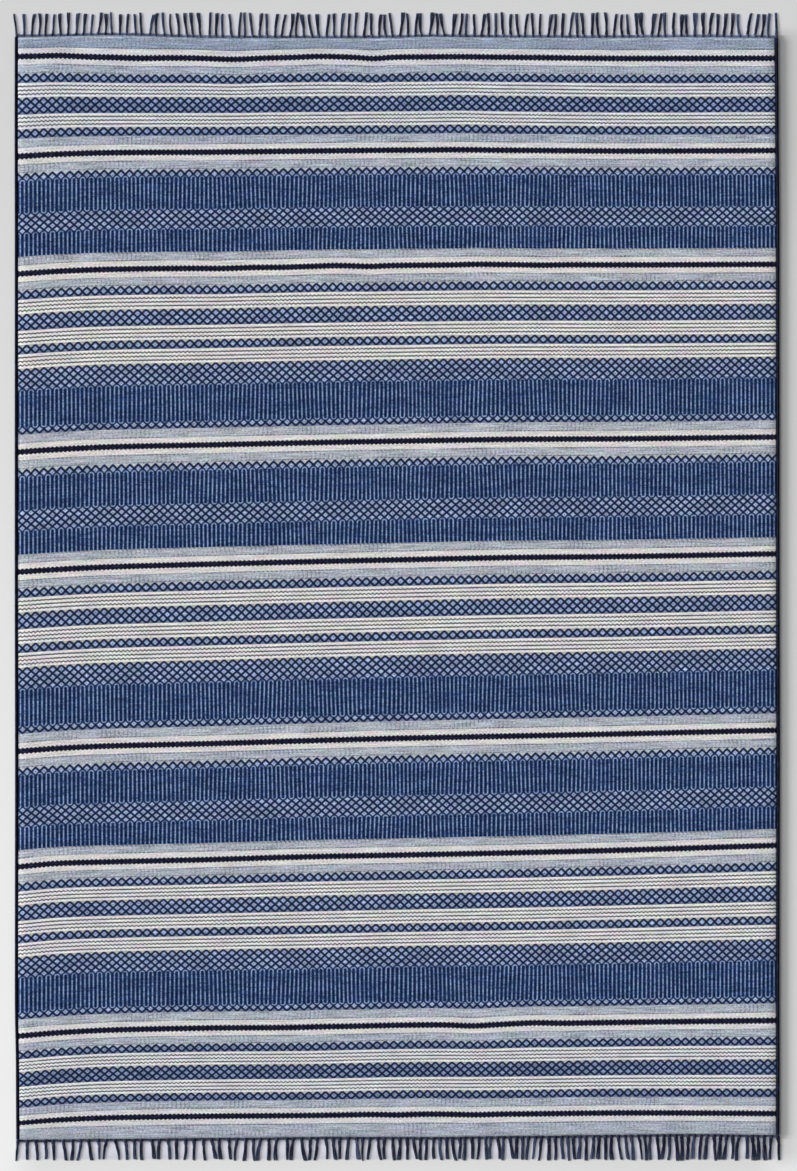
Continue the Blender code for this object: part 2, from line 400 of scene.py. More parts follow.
def build_field(materials):
    """The whole woven cloth as one closed sheet, each stripe with its own material."""
    lines, strips = planned_rows(planned_bands())
    upper, under = field_points(lines)
    rows, columns = len(strips), FIELD_COLUMNS
    faces = field_faces(rows, columns)
    side = (rows + 1) * (columns + 1)
    corners = np.array([corner for _, loop in faces for corner in loop])
    face_rows = np.repeat([row for row, _ in faces], 4)
    indices = corners[:, 2] * side + corners[:, 0] * (columns + 1) + corners[:, 1]
    mesh = bpy.data.meshes.new("woven_field")
    points = np.concatenate([upper.reshape(-1, 3), under.reshape(-1, 3)])
    mesh.from_pydata(points, [], indices.reshape(-1, 4))
    kinds = list(materials)
    for kind in kinds:
        mesh.materials.append(materials[kind])
    slots = [kinds.index(strips[row].kind) for row, _ in faces]
    mesh.polygons.foreach_set("material_index", slots)
    mesh.polygons.foreach_set("use_smooth", [True] * len(slots))
    add_field_maps(mesh, lines, strips, corners, face_rows)
    mesh.validate()
    return bpy.data.objects.new("woven_field", mesh)


def add_field_maps(mesh, lines, strips, corners, face_rows):
    """Each corner's place in the weave, in its own stripe and, for baking, on the whole cloth."""
    corner_rows, corner_columns = corners[:, 0], corners[:, 1]
    downs = np.array([line.down_mm for line in lines])
    repeats = np.array([[repeats_at(across, down) for across in COLUMN_PLACES] for down in downs])
    starts = np.array([strip.start_mm for strip in strips])[face_rows]
    ends = np.array([strip.end_mm for strip in strips])[face_rows]
    in_stripe = np.where(corner_rows == face_rows, starts, ends)
    along = 1 - downs[corner_rows] / (CLOTH_LENGTH / MM)
    maps = {
        "weave": (repeats[corner_rows, corner_columns], downs[corner_rows]),
        "band": (in_stripe, np.zeros(len(corners))),
        "OFBake": (np.array(COLUMN_PLACES)[corner_columns], along),
    }
    for name, places in maps.items():
        mesh.uv_layers.new(name=name).data.foreach_set("uv", np.stack(places, axis=1).ravel())
    mesh.uv_layers["weave"].active_render = True


# Shader formulas

YARN_GLOSS = 0.05
YARN_SHEEN = 0.015
YARN_SHEEN_SPREAD = 0.6


def maths(operation):
    """A method that makes one of the shader's math nodes."""
    def method(self, *others):
        return self.make(operation, *others)

    return method


class Wire:
    """A number that flows between shader nodes and can be used in formulas."""

    __add__ = __radd__ = maths("ADD")
    __sub__ = maths("SUBTRACT")
    __mul__ = __rmul__ = maths("MULTIPLY")
    __truediv__ = maths("DIVIDE")
    __pow__ = maths("POWER")
    size = maths("ABSOLUTE")
    floored = maths("FLOOR")
    part = maths("FRACT")
    smallest = maths("MINIMUM")
    largest = maths("MAXIMUM")
    below = maths("LESS_THAN")

    def __init__(self, tree, socket):
        self.tree, self.socket = tree, socket

    def make(self, operation, *others):
        node = self.tree.nodes.new("ShaderNodeMath")
        node.operation = operation
        for place, value in enumerate((self, *others)):
            if isinstance(value, Wire):
                self.tree.links.new(value.socket, node.inputs[place])
            else:
                node.inputs[place].default_value = value
        return Wire(self.tree, node.outputs[0])

    def __rsub__(self, other):
        return self.make("MULTIPLY_ADD", -1.0, other)

    def folded(self, phase=0.0):
        """Distance from the nearest whole number, after taking the phase away."""
        return (self - phase).make("PINGPONG", 0.5)

    def rising(self, start, end):
        """Goes smoothly from 0 at start to 1 at end. It falls where end is the lower one."""
        if end < start:
            return 1.0 - self.rising(end, start)
        node = self.tree.nodes.new("ShaderNodeMapRange")
        node.interpolation_type = "SMOOTHSTEP"
        self.tree.links.new(self.socket, node.inputs["Value"])
        node.inputs["From Min"].default_value = start
        node.inputs["From Max"].default_value = end
        return Wire(self.tree, node.outputs["Result"])


def chosen(mask, where_one, where_zero):
    """One of two numbers, by a mask of 1 or 0."""
    return where_zero + mask * (where_one - where_zero)


def light(*channels):
    """The shader's linear colour for red, green and blue as seen, 0 to 255."""
    seen = [channel / 255 for channel in channels]
    return tuple(share / 12.92 if share <= 0.04045 else ((share + 0.055) / 1.055) ** 2.4 for share in seen)


class Cloth:
    """A yarn material in the making: its nodes, its places in the weave and its finish."""

    def __init__(self, name):
        self.material = bpy.data.materials.new(name)
        self.material.use_nodes = True
        self.tree = self.material.node_tree
        self.shader = self.tree.nodes["Principled BSDF"]

    def new(self, kind, **settings):
        node = self.tree.nodes.new(kind)
        for name, value in settings.items():
            setattr(node, name, value)
        return node

    def link(self, value, socket):
        if isinstance(value, Wire):
            value = value.socket
        if isinstance(value, bpy.types.NodeSocket):
            self.tree.links.new(value, socket)
        elif isinstance(value, tuple) and len(socket.default_value) == 4:
            socket.default_value = (*value, 1.0)
        else:
            socket.default_value = value

    def split(self, place):
        """The first two numbers of a place."""
        node = self.new("ShaderNodeSeparateXYZ")
        self.link(place, node.inputs[0])
        return Wire(self.tree, node.outputs[0]), Wire(self.tree, node.outputs[1])

    def places(self, layer):
        """The two numbers of a UV layer."""
        return self.split(self.new("ShaderNodeUVMap", uv_map=layer).outputs[0])

    def weave_places(self):
        """Diamonds across, mm down the cloth and mm down the stripe."""
        return (*self.places("weave"), self.places("band")[0])

    def metres(self):
        """X and Y on the object."""
        return self.split(self.new("ShaderNodeTexCoord").outputs["Object"])

    def noise(self, x, y, layer=0.0, detail=1.0, coloured=False):
        """Smooth blotches about 1 wide, which differ from layer to layer."""
        place = self.new("ShaderNodeCombineXYZ")
        for socket, value in zip(place.inputs, (x, y, layer)):
            self.link(value, socket)
        node = self.new("ShaderNodeTexNoise", noise_dimensions="3D")
        self.link(place.outputs[0], node.inputs["Vector"])
        node.inputs["Scale"].default_value = 1.0
        node.inputs["Detail"].default_value = detail
        return node.outputs["Color"] if coloured else Wire(self.tree, node.outputs["Fac"])

    def blended(self, share, first, second):
        """A colour that goes from the first (0) to the second (1)."""
        node = self.new("ShaderNodeMix", data_type="RGBA")
        for place, value in ((0, share), (6, first), (7, second)):
            self.link(value, node.inputs[place])
        return node.outputs[2]

    def mixed(self, operation, *values):
        node = self.new("ShaderNodeVectorMath", operation=operation)
        for place, value in enumerate(values):
            self.link(value, node.inputs["Scale" if operation == "SCALE" and place else place])
        return node.outputs[0]

    def scaled(self, colour, factor):
        return self.mixed("SCALE", colour, factor)

    def multiplied(self, colour, other):
        return self.mixed("MULTIPLY", colour, other)

    def tinted(self, colour, noise_colour, strength):
        """The colour with each channel strayed a little by a coloured noise."""
        stray = self.mixed("MULTIPLY_ADD", noise_colour, (strength,) * 3, (1 - strength / 2,) * 3)
        return self.multiplied(colour, stray)

    def finished(self, colour, height, depth, roughness):
        """Wires the colour and the relief into the shader."""
        bump = self.new("ShaderNodeBump")
        bump.inputs["Distance"].default_value = depth
        self.link(height, bump.inputs["Height"])
        finish = {
            "Base Color": colour,
            "Normal": bump.outputs[0],
            "Roughness": roughness,
            "Specular IOR Level": YARN_GLOSS,
            "Sheen Weight": YARN_SHEEN,
            "Sheen Roughness": YARN_SHEEN_SPREAD,
        }
        for name, value in finish.items():
            self.link(value, self.shader.inputs[name])
        return self.material


# Colours of the yarns
CREAM = light(232, 229, 230)
CREAM_SHADOW = light(190, 189, 190)
PIN_CREAM = light(240, 239, 240)
PIN_GREY = light(72, 72, 80)
FAR_HEATHER = light(166, 176, 196)
HEATHER = light(193, 199, 211)
HEATHER_DARK = light(118, 128, 148)
TICK = light(72, 78, 96)
FLECK = light(214, 220, 232)
BLACK = light(16, 17, 40)
BLACK_MOTTLE = light(48, 50, 80)
NAVY = light(6, 24, 64)
BRIGHT_NAVY = light(36, 62, 112)
NAVY_LINE = light(9, 25, 64)
COLUMN_LIGHT = light(144, 167, 208)
DIAMOND = light(180, 194, 223)
DIAMOND_RIM = light(102, 121, 163)
DIAMOND_DOT = light(66, 84, 128)
UNDER_DIAMOND = light(124, 136, 168)
EDGE_DARK = light(12, 13, 30)
EDGE_PALE = light(24, 28, 52)
FRINGE_DARK = light(30, 33, 52)
FRINGE_PALE = light(98, 112, 144)

# The dark and the pale yarn of the far twined row and of the near one
ROW_COLOURS = (
    (light(60, 68, 96), light(136, 150, 184)),
    (light(34, 38, 56), light(92, 98, 120)),
)

# Casts of the middle of the rug and of its ends
WARM_CAST = (1.01, 1.0, 0.975)
COOL_CAST = (0.94, 0.965, 0.995)

# Where down the cloth its colour turns cool, and by how much
COOL_STRETCHES = ((280.0, 90.0, 1.0), (700.0, 1300.0, 0.25), (1500.0, 1640.0, 0.45))
NEAR_END = (1740.0, 1749.0)
NEAR_END_SHADE = 0.08

# The threads: the weft's pitch in mm, the floats to a diamond, and their relief in metres
WEFT = 1.9
FLOATS = 4
WEAVE_DEPTH = 0.0005
CLOTH_ROUGHNESS = 0.88

# How far the colour strays
FINE_STRAY = 1.60
STREAK_STRAY = 0.80
BROAD_STRAY = 0.30
HUE_STRAY = 0.24


def woven(cloth, colour, u, down, contrast=1.0):
    """The finished material, with the yarn's own unevenness and relief, and painted shade in its grooves."""
    sideways = u * PITCH
    pick = down / WEFT
    shift = pick.floored() * 0.5
    rib = (pick.part() - 0.5) * 2.0
    bead = ((u * FLOATS + shift).part() - 0.5) * 2.0
    rib_height = 1.0 - rib * rib
    bead_height = 1.0 - bead * bead
    height = rib_height * (0.6 + 0.4 * bead_height)
    fine = cloth.noise(sideways / 3.0, down / 2.4, detail=2.0)
    streak = cloth.noise(sideways / 45.0, down / 2.4, 5.0)
    broad = cloth.noise(sideways / 45.0, down / 28.0, 9.0)
    strays = ((fine, FINE_STRAY), (streak, STREAK_STRAY), (broad, BROAD_STRAY))
    uneven = 1.0 + sum((noise - 0.5) * stray for noise, stray in strays) * contrast
    hue = cloth.noise(sideways / 30.0, down / 10.0, 3.0, coloured=True)
    colour = cloth.tinted(colour, hue, HUE_STRAY)
    cool = sum(down.rising(start, end) * amount for start, end, amount in COOL_STRETCHES)
    colour = cloth.multiplied(colour, cloth.blended(cool, WARM_CAST, COOL_CAST))
    near_shade = 1.0 - down.rising(*NEAR_END) * NEAR_END_SHADE
    # Painted shade: every yarn a little darker down in the weave's grooves, by the relief's height
    colour = cloth.scaled(colour, uneven * near_shade * (0.90 + 0.10 * height))
    return cloth.finished(colour, height + fine * 0.6, WEAVE_DEPTH, CLOTH_ROUGHNESS)


def cream_cloth(name):
    cloth = Cloth(name)
    u, down = cloth.places("weave")
    ticks = (u * 4.0).folded().rising(0.12, 0.42)
    patchy = cloth.noise(u / 3.0, down / 7.0, 2.0).rising(0.45, 0.7)
    colour = cloth.blended(ticks * patchy * 0.35, CREAM, CREAM_SHADOW)
    return woven(cloth, colour, u, down, 0.7)


# The dark stripes' teeth, their depth and soft edge in mm, and how strongly these stripes mottle
TEETH_DEPTH = 4.8
TEETH_EDGE = (-1.0, -0.2)
MOTTLE_STRENGTH = 0.7


def black_cloth(name):
    """The near-black stripe, its edges toothed where it meets the cream."""
    cloth = Cloth(name)
    u, down, v = cloth.weave_places()
    teeth = (u * 2.0).folded() * TEETH_DEPTH
    from_edge = v.smallest(BLACK_HEIGHT - v)
    ink = (from_edge - teeth).rising(*TEETH_EDGE)
    mottled = cloth.noise(u * 1.7, down / 2.6, 17.0).rising(0.48, 0.68) * MOTTLE_STRENGTH
    colour = cloth.blended(ink, CREAM, cloth.blended(mottled, BLACK, BLACK_MOTTLE))
    return woven(cloth, colour, u, down, 0.7)


# How far in from a heather stripe's edge its dark ticks and pale flecks lie, in mm
TICKS_FROM_CREAM = 0.9
FLECKS_FROM_END = 2.6
END_STRIPES = ("far_heather", "near_heather")


def heather_cloth(kind, base, cream_above, cream_below):
    """Streaked yarn with dark ticks beside the cream and pale flecks at the cloth's ends."""
    height = BAND_HEIGHTS[kind]
    cloth = Cloth(f"{kind}_yarn")
    u, down, v = cloth.weave_places()
    streaks = cloth.noise(u * PITCH / 30.0, down / 2.4, 7.0, detail=2.0).rising(0.42, 0.68)
    patchy = cloth.noise(u / 4.0, down / 12.0, 1.0).rising(0.42, 0.66)
    posts = (u * 2.0).folded().rising(0.20, 0.44) * patchy
    colour = cloth.blended((streaks * 0.40 + posts * 0.50).smallest(1.0), base, HEATHER_DARK)
    beads = (u * 2.0).folded(0.25).rising(0.40, 0.10) * 0.6 + 0.25
    if kind in END_STRIPES:
        from_end = v if cream_below else height - v
        flecks = cloth.noise(u * 1.1, down / 2.0, 15.0).rising(0.40, 0.62)
        fleck_row = (from_end - FLECKS_FROM_END).size().rising(1.6, 0.3)
        colour = cloth.blended(fleck_row * flecks * 0.7, colour, FLECK)
    places = ((cream_above, TICKS_FROM_CREAM), (cream_below, height - TICKS_FROM_CREAM))
    ticks = sum((v - place).size().rising(1.5, 0.4) for beside_cream, place in places if beside_cream)
    strength = cloth.noise(u / 5.0, down / 20.0, 11.0).rising(0.32, 0.60) * 0.8 + 0.2
    colour = cloth.blended(ticks * beads * strength, colour, TICK)
    return woven(cloth, colour, u, down, 1.15)


# The pin lines' places in their stripe, how far they ripple and half their width, in mm
PIN_LINES = (5.2, 11.4, 17.5)
PIN_WAVE = 1.1
PIN_HALF = 1.2


def pins_cloth(name):
    """White with three thin grey lines that ripple with the weave."""
    cloth = Cloth(name)
    u, down, v = cloth.weave_places()
    ripple = ((u * 2.0).folded() - 0.25) * (4.0 * PIN_WAVE)
    ripple = ripple * (0.25 + cloth.noise(u / 7.0, down / 18.0, 12.0).rising(0.30, 0.60) * 0.75)
    grey = sum((v + ripple - place).size().rising(PIN_HALF * 1.5, PIN_HALF * 0.3) for place in PIN_LINES)
    strength = 0.5 + cloth.noise(u / 1.2, down / 4.0, 4.0, detail=2.0) * 1.1
    colour = cloth.blended((grey * strength).smallest(1.0), PIN_CREAM, PIN_GREY)
    return woven(cloth, colour, u, down, 0.6)


# Rows of diamonds: the first row's middle, the half rows, their height and the first one's phase
Net = namedtuple("Net", "first rows half phase")
ROUNDED = 1.12


def last_row(net):
    """The middle of a net's last row."""
    return net.first + (net.rows - 1) * net.half


def net_field(u, v, net, rounded_top, rounded_bottom):
    """0 in the middle of each diamond, 1 on its dark outline and more outside the net."""
    last = last_row(net)
    last_phase = net.phase + 0.5 * (net.rows - 1)

    def cap(distance, phase, rounded):
        sideways = u.folded(phase) * 2.0
        distance = distance / net.half
        if not rounded:
            return sideways + distance
        return (sideways**ROUNDED + distance.largest(0.0) ** ROUNDED) ** (1 / ROUNDED)

    above = cap(net.first - v, net.phase, rounded_top)
    below = cap(v - last, last_phase, rounded_bottom)
    climb = (v - net.first) / (2 * net.half)
    rising = (u + climb).folded(net.phase + 0.5)
    falling = (u - climb).folded(net.phase + 0.5)
    middle = 1.0 - rising.smallest(falling) * 2.0
    return chosen(v.below(net.first), above, chosen(v.below(last), middle, below))


# The arcades, in mm: their arches' radius, their gap to the diamonds and half the light line's width
ARCH_RADIUS = PITCH / 4
ARCH_GAP = 3.2
COLUMN_HALF = 0.78


def arcade_lines(u, v, top, phase, bottom):
    """Distance in mm from the light line that winds up and down the columns, arched at both ends."""
    beside = u.folded(phase) * PITCH
    rise = (top + ARCH_GAP + ARCH_RADIUS - v).largest(0.0)
    line = ((beside * beside + rise * rise) ** 0.5 - ARCH_RADIUS).size()
    if bottom is None:
        return line
    beside = u.folded(phase + 0.5) * PITCH
    fall = (v - (bottom - ARCH_GAP - ARCH_RADIUS)).largest(0.0)
    lower = ((beside * beside + fall * fall) ** 0.5 - ARCH_RADIUS).size()
    return chosen(v.below((top + bottom) / 2), line, lower)


def column_colour(cloth, u, down, line):
    """Navy columns, each lined by a light thread that breaks and fades."""
    breaks = 0.34 + cloth.noise(u * 1.6, down / 3.8, 8.0, detail=2.0).rising(0.32, 0.62)
    fading = 0.62 + cloth.noise(u / 4.0, down / 16.0, 18.0).rising(0.38, 0.62) * 0.56
    shine = line.rising(COLUMN_HALF * 1.9, COLUMN_HALF * 0.3) * breaks * fading
    rows = cloth.noise(u / 3.5, down / 2.6, 14.0).rising(0.40, 0.66)
    post = cloth.blended(line.rising(3.0, 1.3) * 0.6 + rows * 0.5, NAVY, BRIGHT_NAVY)
    return cloth.blended(shine.smallest(1.0), post, COLUMN_LIGHT)


def inside_colour(cloth, u, down, field):
    """The pale inside of the diamonds, with a dot and a bluer rim, some brighter than others."""
    patch = cloth.noise(u / 5.0, down / 26.0, 16.0).rising(0.32, 0.64)
    glint = 0.44 + cloth.noise(u * 1.3, down / 5.0, 6.0) * 0.9 + patch * 0.24
    ends = down.rising(220.0, 100.0) * 0.6 + down.rising(1540.0, 1600.0)
    dot = field.rising(0.34, 0.08) * cloth.noise(u * 1.1, down / 6.0, 13.0).rising(0.34, 0.50)
    inside = cloth.blended(field.rising(0.26, 0.72), DIAMOND, DIAMOND_RIM)
    inside = cloth.blended(dot * 0.8, inside, DIAMOND_DOT)
    return cloth.scaled(inside, glint * (1.0 - ends * 0.26))


def diamond_cloth(name, nets, above, columns=()):
    """Rows of outlined diamonds, and any arcades of dark columns between them."""
    cloth = Cloth(name)
    u, down, v = cloth.weave_places()
    tops = [top for top, _, _ in columns]
    fields = []
    for net in nets:
        meets_columns = any(abs(top - last_row(net)) < 0.1 for top in tops)
        fields.append(net_field(u, v, net, net is nets[0], not meets_columns))
    field = reduce(Wire.smallest, fields)
    outside = cloth.blended(v.below(nets[0].first), UNDER_DIAMOND, above)
    colour = cloth.blended(field.below(1.0), outside, inside_colour(cloth, u, down, field))
    outline = (field - 1.0).size().rising(0.44, 0.16)
    colour = cloth.blended(outline, colour, NAVY_LINE)
    for top, bottom, phase in columns:
        zone = (1.0 - v.below(top)) * (1.0 - field.below(1.0))
        if bottom is not None:
            zone = zone * v.below(bottom)
        line = arcade_lines(u, v, top, phase, bottom)
        colour = cloth.blended(zone, colour, column_colour(cloth, u, down, line))
    return woven(cloth, colour, u, down, 0.9)


# Each diamond stripe's nets, the colour above it, and any columns' top, bottom and phase
CHAIN_NETS = (Net(7.4, 1, 6.5, 0.0),)
DOUBLE_NETS = (Net(7.2, 3, 6.2, 0.0),)
ARCADE_NETS = (Net(8.2, 1, 6.8, 0.0), Net(67.7, 5, 5.87, 0.5))
TRELLIS_NETS = (Net(7.0, 5, 6.05, 0.0), Net(97.2, 1, 6.2, 0.5))
DIAMONDS = {
    "chain": (CHAIN_NETS, HEATHER),
    "chain_under_pins": (CHAIN_NETS, CREAM_SHADOW),
    "double": (DOUBLE_NETS, CREAM_SHADOW),
    "arcade": (ARCADE_NETS, HEATHER, ((8.2, 67.7, 0.5), (91.18, None, 0.0))),
    "trellis": (TRELLIS_NETS, CREAM_SHADOW, ((31.2, 97.2, 0.5),)),
}

# Each heather stripe's colour, and whether it has cream above it and below it
HEATHERS = {
    "far_heather": (FAR_HEATHER, False, True),
    "near_heather": (HEATHER, True, False),
    "heather": (HEATHER, True, True),
    "deep_heather": (HEATHER, False, True),
}


def cloth_materials():
    """The material of each kind of band."""
    return {
        "black": black_cloth("black_yarn"),
        "cream": cream_cloth("cream_yarn"),
        "pins": pins_cloth("pin_lines_weave"),
        **{kind: heather_cloth(kind, *looks) for kind, looks in HEATHERS.items()},
        **{kind: diamond_cloth(f"{kind}_weave", *looks) for kind, looks in DIAMONDS.items()},
    }


# Bindings

# The yarn's turns: their pitch in metres, their rings, how much thinner their grooves are, and their slant
WRAP_PITCH = 0.0023
WRAP_RINGS = 3
WRAP_GROOVE = 0.07
WRAP_STRAY = 0.02
WRAP_SLANT = 0.45
BINDING_SIDES = 10


def binding_ring(side, along, thickness):
    """One ring of the wrapped yarn: a flat foot on the floor under a rounded, slanting back."""
    half_width = BINDING_WIDTH / 2
    middle = outer_edge(side, along) - side * half_width
    y = between(end_edge(-1, (1 + side) / 2), end_edge(1, (1 + side) / 2), along)
    places = []
    for corner in range(BINDING_SIDES):
        angle = TURN * corner / BINDING_SIDES
        across, up = math.cos(angle) * thickness, math.sin(angle)
        height = (max(up, -BINDING_FOOT) + BINDING_FOOT) / (1 + BINDING_FOOT) * thickness
        slant = WRAP_SLANT * math.cos(angle) * side * half_width * 4 * along * (1 - along)
        places.append(Vector((middle + across * half_width, y + slant, height * BINDING_HEIGHT)) + SHIFT)
    return places


def build_binding(name, side, material):
    """Overcast yarn wound round one long edge, each turn a rounded ridge."""
    pick = random.Random(SEED + 5 * side)
    turns = round(CLOTH_LENGTH / WRAP_PITCH)
    tube = Tubes(name)
    rings = []
    for step in range(turns * WRAP_RINGS + 1):
        groove = step % WRAP_RINGS == 0
        thickness = 1 - WRAP_GROOVE if groove else 1 - pick.uniform(0.0, WRAP_STRAY)
        rings.append(binding_ring(side, step / (turns * WRAP_RINGS), thickness))
    tube.add(rings, pick.random())
    return tube.finished(material)


class Tubes:
    """A joined mesh of many closed tubes, each given as rings of points."""

    def __init__(self, name):
        self.name = name
        self.points, self.faces, self.uvs = [], [], []

    def add(self, rings, tone):
        """One tube, closed at both ends. Its UV holds its tone and how far along it a point is."""
        start, sides = len(self.points), len(rings[0])
        for ring in rings:
            self.points.extend(ring)
        last = len(rings) - 1
        for row in range(last):
            for side in range(sides):
                after = (side + 1) % sides
                low, high = start + row * sides, start + (row + 1) * sides
                self.faces.append((low + side, low + after, high + after, high + side))
                for step in (0, 0, 1, 1):
                    self.uvs += (tone, (row + step) / last)
        first_cap = tuple(start + side for side in reversed(range(sides)))
        last_cap = tuple(start + last * sides + side for side in range(sides))
        for cap, share in ((first_cap, 0.0), (last_cap, 1.0)):
            self.faces.append(cap)
            self.uvs += (tone, share) * sides

    def finished(self, material):
        mesh = bpy.data.meshes.new(self.name)
        mesh.from_pydata(self.points, [], self.faces)
        mesh.uv_layers.new(name="fibre").data.foreach_set("uv", self.uvs)
        mesh.polygons.foreach_set("use_smooth", [True] * len(mesh.polygons))
        mesh.materials.append(material)
        shape = bmesh.new()
        shape.from_mesh(mesh)
        bmesh.ops.recalc_face_normals(shape, faces=shape.faces[:])
        shape.to_mesh(mesh)
        shape.free()
        return bpy.data.objects.new(self.name, mesh)


# Fringes

# A strand's X at root and tip, its bow, its half widths and the Y it reaches
Strand = namedtuple("Strand", "root tip bow neck club reach")


def strand_middle(strand, share):
    return between(strand.root, strand.tip, share) + strand.bow * math.sin(math.pi * share)


def strand_half(strand, swollen):
    return between(strand.neck, strand.club, swollen)


def kept_clear(strand, before):
    """The strand, its tip moved right until it is clear of the one before it."""
    tip = strand.tip
    for share, swollen in STRAND_SECTIONS:
        taken = strand_middle(before, share) + strand_half(before, swollen) + STRAND_CLEARANCE
        room = strand_middle(strand, share) - strand_half(strand, swollen) - taken
        tip = max(tip, strand.tip - room / share)
    return strand._replace(tip=tip)


def root_shares(fringe, pick):
    """Where each strand leaves the cloth's end, from 0 at the left to 1 at the right."""
    pitches = []
    for gap in range(fringe.strands - 1):
        rightward = min(1.0, gap / (EVEN_FROM * fringe.strands))
        pitches.append(between(fringe.left_pitch, 1.0, rightward**2))
    total = sum(pitches)
    places, walked = [0.0], 0.0
    for pitch in pitches:
        walked += pitch
        places.append((walked + pick.uniform(-ROOT_STRAY, ROOT_STRAY) * pitch) / total)
    places[-1] = 1.0
    return places


def planned_strands(fringe):
    """Each strand's place, lean and thickness, as the solids have them."""
    pick = random.Random(SEED + fringe.side)
    along = (1 + fringe.side) / 2
    left = outer_edge(-1, along) + CORNER_INSET
    right = outer_edge(1, along) - CORNER_INSET
    corner_leans = {0: fringe.left_lean_mm * MM, fringe.strands - 1: fringe.right_lean_mm * MM}
    strands = []
    for number, share in enumerate(root_shares(fringe, pick)):
        root = between(left, right, share)
        neck = fringe.girth_mm.neck * MM / 2
        club = pick.uniform(fringe.girth_mm.thinnest, fringe.girth_mm.thickest) * MM / 2
        lean = pick.uniform(-TIP_LEAN, TIP_LEAN)
        if number in corner_leans:
            neck, club, lean = CORNER_HALF_WIDTH, CORNER_HALF_WIDTH, corner_leans[number]
        bow = pick.uniform(-STRAND_BOW, STRAND_BOW)
        reach = CLOTH_LENGTH / 2 + FRINGE_REACH + pick.uniform(-TRIM_STRAY, TRIM_STRAY)
        strand = Strand(root, root + lean, bow, neck, club, fringe.side * reach)
        if strands:
            strand = kept_clear(strand, strands[-1])
        strands.append(strand)
    return strands


def strip_line(fringe, x, outward):
    """Y of the fringe's root row at X, this far outward from its inner edge."""
    along = (1 + fringe.side) / 2
    left, right = cloth_edge(-1, along), cloth_edge(1, along)
    return end_line(fringe.side, (x - left) / (right - left)) + fringe.side * (PIECE_GAP + outward)


# Each strand's plies: how many, their radius at neck and tip, the shortest one's share of the length, and
# their height at neck and tip as a share of the root row's
PLIES = 14
PLY_SIDES = 4
PLY_RADIUS = (0.00046, 0.00050)
SHORTEST_PLY = 0.955
STRAND_HEIGHTS = (0.44, 0.27)

# Where along a strand its flare starts and ends, and where it frays
FLARE_FROM = 0.30
FLARE_TO = 0.92
STRAND_STEPS = 10
NECK_TURNS = 0.9
FRAY_FROM = 0.45


def strand_spread(fringe, strand, share):
    """Half the strand's width here: narrow at its neck and widest near its frayed end."""
    across = strand.root / RUG_WIDTH + 0.5
    breadth = between(*fringe.breadth, across)
    if share < FLARE_FROM:
        root = fringe.girth_mm.root * MM / 2
        return (fringe.neck_fluff + between(root, strand.neck, share / FLARE_FROM)) * breadth
    swollen = min(1.0, (share - FLARE_FROM) / (FLARE_TO - FLARE_FROM))
    swollen = swollen * swollen * (3 - 2 * swollen)
    fluff = between(fringe.neck_fluff, between(*fringe.tip_fluff, across), swollen)
    return (fluff + strand_half(strand, swollen)) * breadth


def ring_round(middle, forward, radius, sides, turn=0.0):
    """A ring of points round a place on a yarn that runs level in this direction."""
    sideways = Vector((forward.y, -forward.x, 0.0)).normalized()
    upward = Vector((0.0, 0.0, 1.0))
    ring = []
    for corner in range(sides):
        angle = turn + TURN * corner / sides
        ring.append(middle + (sideways * math.cos(angle) + upward * math.sin(angle)) * radius)
    return ring


def add_strand(tubes, fringe, strand, pick):
    """One warp end: plies that twist together at the neck and fray apart at the tip."""
    start = strip_line(fringe, strand.root, STRIP_WIDTH * 0.6)
    tone = pick.random()
    sway, sway_phase = pick.uniform(0.0, 0.0007), pick.uniform(0.0, TURN)
    turns = NECK_TURNS * pick.uniform(0.7, 1.3)
    for ply in range(PLIES):
        length = pick.uniform(SHORTEST_PLY, 1.0)
        phase = TURN * (ply + pick.uniform(-0.3, 0.3)) / PLIES
        inward = pick.uniform(0.25, 1.0)
        curl = pick.uniform(-0.7, 0.7)
        middles, radii = [], []
        for step in range(STRAND_STEPS + 1):
            share = step / STRAND_STEPS * length
            twist = TURN * turns * min(share, FRAY_FROM)
            swing = phase + twist + curl * max(0.0, share - FRAY_FROM)
            radius = between(*PLY_RADIUS, share)
            spread = max(strand_spread(fringe, strand, share) - radius, 0.0002) * inward
            room = STRIP_HEIGHT * between(*STRAND_HEIGHTS, share) - 2 * radius
            x = strand_middle(strand, share) + sway * math.sin(TURN * share + sway_phase) * share
            y = between(start, strand.reach, share)
            z = radius + room * (0.5 + 0.5 * math.sin(swing) * inward)
            middles.append(Vector((x + spread * math.cos(swing), y, z)) + SHIFT)
            radii.append(radius if step < STRAND_STEPS else radius * 0.5)
        rings = []
        for step, middle in enumerate(middles):
            forward = middles[min(step + 1, STRAND_STEPS)] - middles[max(step - 1, 0)]
            rings.append(ring_round(middle, forward, radii[step], PLY_SIDES))
        tubes.add(rings, between(tone, pick.random(), 0.35))


KNOT_SIDES = 8
KNOT_STEPS = 6
KNOT_LENGTH = 0.0058
KNOT_SKEW = 0.25


